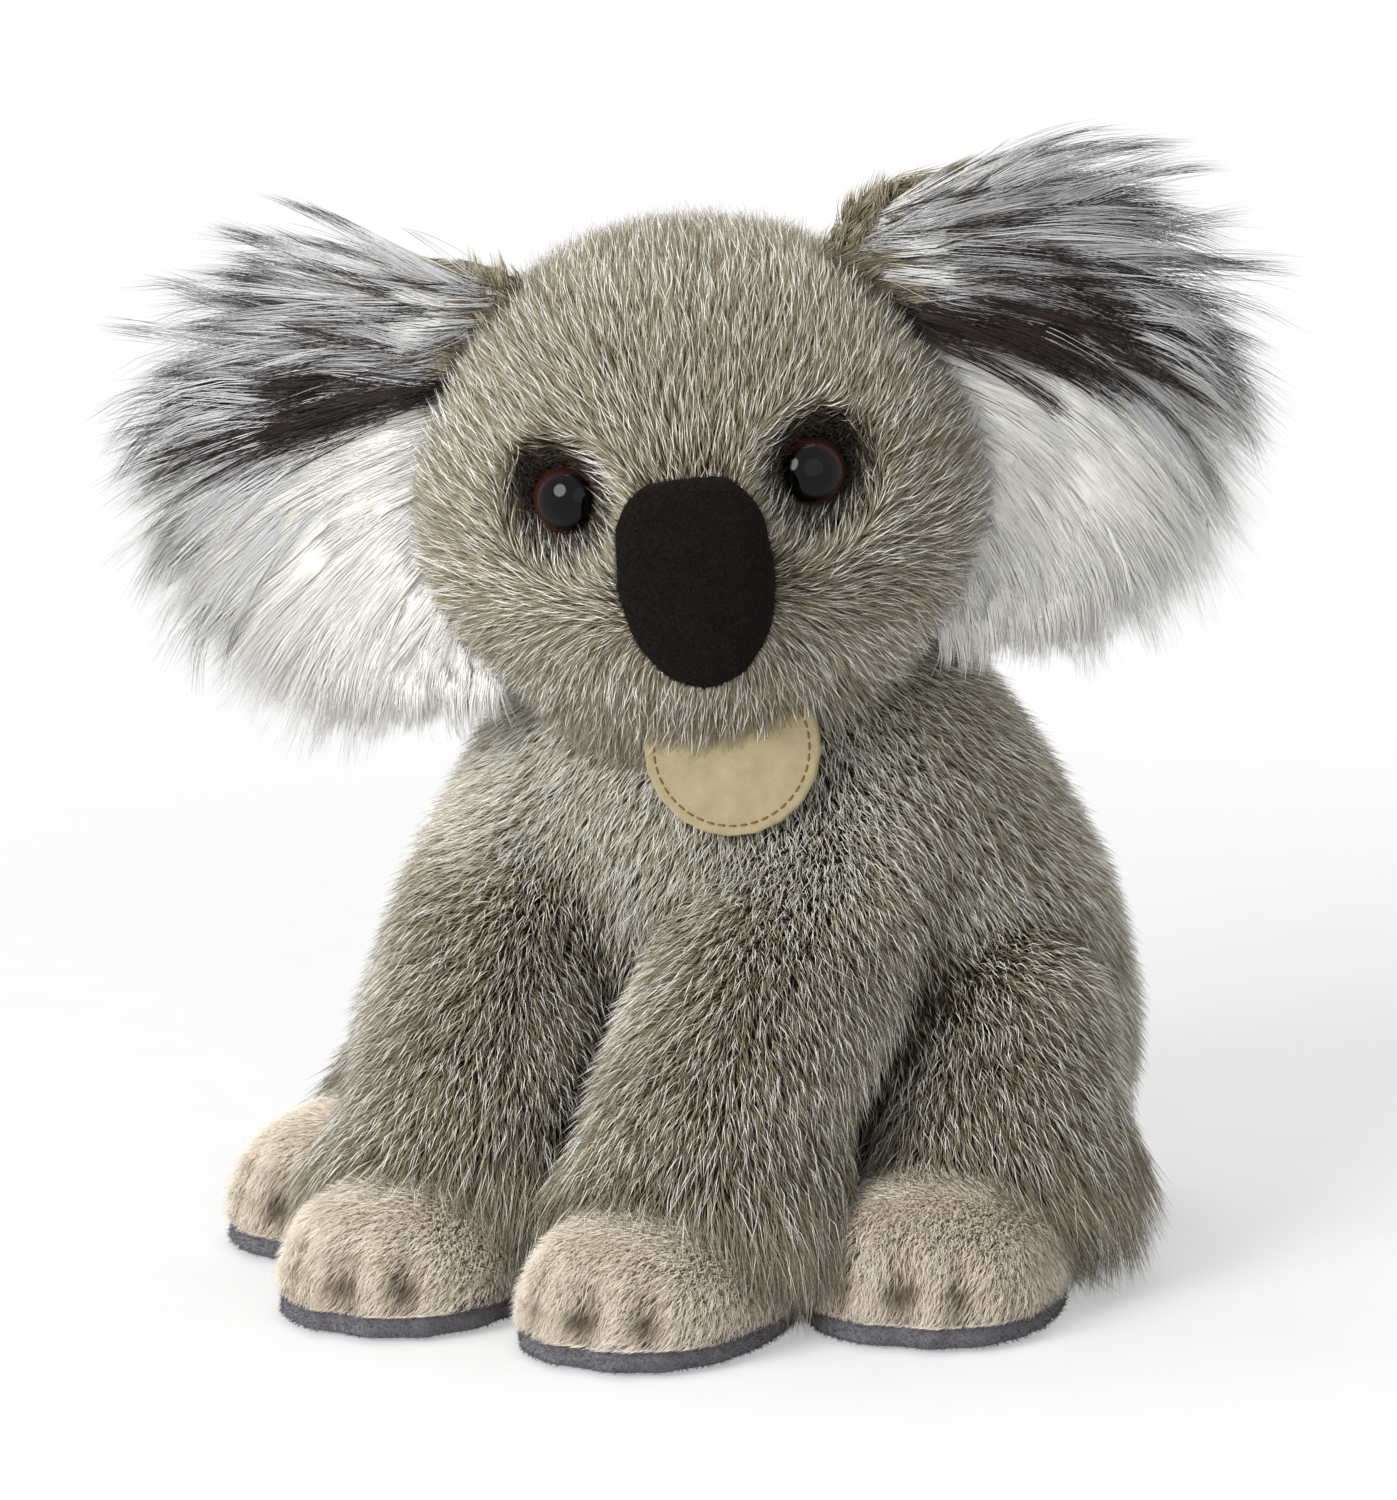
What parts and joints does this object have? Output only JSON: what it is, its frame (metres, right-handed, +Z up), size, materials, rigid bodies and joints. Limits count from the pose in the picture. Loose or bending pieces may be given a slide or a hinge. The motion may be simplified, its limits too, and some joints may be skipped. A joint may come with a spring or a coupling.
{
  "type": "plush koala",
  "caption": "Sitting plush koala with long shaggy pile, big fan-shaped ears, felt nose, glossy domed eyes, short-pile paws with felt soles, and a plain suede tag below its chin.",
  "frame": {"origin": "on the flat underside of the seat, below the middle of the body", "axes": "+Z up; -Y is the way the belly faces; +X is the koala's left; the head is turned about 26 degrees to its left"},
  "size_m": [0.2089, 0.2022, 0.2359],
  "materials": {
    "body_plush": "long shaggy plush pile, taupe grey with frosted silver tips",
    "limb_plush": "long shaggy plush pile, darker taupe with frosted tips",
    "ear_front_plush": "very long creamy white plush",
    "ear_back_plush": "very long grey plush with dark brown and black tips",
    "paw_plush": "short light beige-grey plush",
    "sole_felt": "dense grey felt",
    "nose_felt": "matte black felt",
    "eye_plastic": "polished black dome with a brown rim",
    "washer_plastic": "moulded",
    "fibre_filling": "loose white polyester fibre",
    "pellet_pouch": "plain woven bag of plastic pellets",
    "tag_suede": "soft beige suede, stitched round",
    "tag_cord": "thin twisted brown cord"
  },
  "bodies": {
    "root": {"seat_panel": "body_plush", "chest_panel": "body_plush", "back_panel_left": "body_plush", "back_panel_right": "body_plush", "head_gusset": "body_plush", "head_panel_left": "body_plush", "head_panel_right": "body_plush", "arm_skin_left": "limb_plush", "arm_skin_right": "limb_plush", "leg_skin_left": "limb_plush", "leg_skin_right": "limb_plush", "front_paw_top_left": "paw_plush", "front_paw_top_right": "paw_plush", "hind_paw_top_left": "paw_plush", "hind_paw_top_right": "paw_plush", "front_paw_sole_left": "sole_felt", "front_paw_sole_right": "sole_felt", "hind_paw_sole_left": "sole_felt", "hind_paw_sole_right": "sole_felt", "nose_cover": "nose_felt", "eye_left": "eye_plastic", "eye_right": "eye_plastic", "eye_washer_left": "washer_plastic", "eye_washer_right": "washer_plastic", "torso_filling": "fibre_filling", "head_filling": "fibre_filling", "nose_padding": "fibre_filling", "arm_filling_left": "fibre_filling", "arm_filling_right": "fibre_filling", "leg_filling_left": "fibre_filling", "leg_filling_right": "fibre_filling", "front_paw_filling_left": "fibre_filling", "front_paw_filling_right": "fibre_filling", "hind_paw_filling_left": "fibre_filling", "hind_paw_filling_right": "fibre_filling", "seat_pellet_pouch": "pellet_pouch", "tag_loop": "tag_cord"},
    "left_ear": {"ear_inner_left": "ear_front_plush", "ear_outer_left": "ear_back_plush"},
    "right_ear": {"ear_inner_right": "ear_front_plush", "ear_outer_right": "ear_back_plush"},
    "tag": {"tag_face": "tag_suede", "tag_backing": "tag_suede"}
  },
  "joints": [
    {"name": "left_ear_flap", "type": "hinge", "parent": "root", "child": "left_ear", "pos_m": [0.05088, -0.01844, 0.17024], "axis": [-0.0896, -0.1019, 0.9908], "range_deg": [-15, 15], "stiffness_Nm_per_rad": 0.02},
    {"name": "right_ear_flap", "type": "hinge", "parent": "root", "child": "right_ear", "pos_m": [-0.04186, -0.06367, 0.15721], "axis": [-0.0896, -0.1019, 0.9908], "range_deg": [-15, 15], "stiffness_Nm_per_rad": 0.02},
    {"name": "tag_swing", "type": "hinge", "parent": "root", "child": "tag", "pos_m": [0.01977, -0.05433, 0.13223], "axis": [-0.9397, -0.342, 0], "range_deg": [0, 25]}
  ]
}
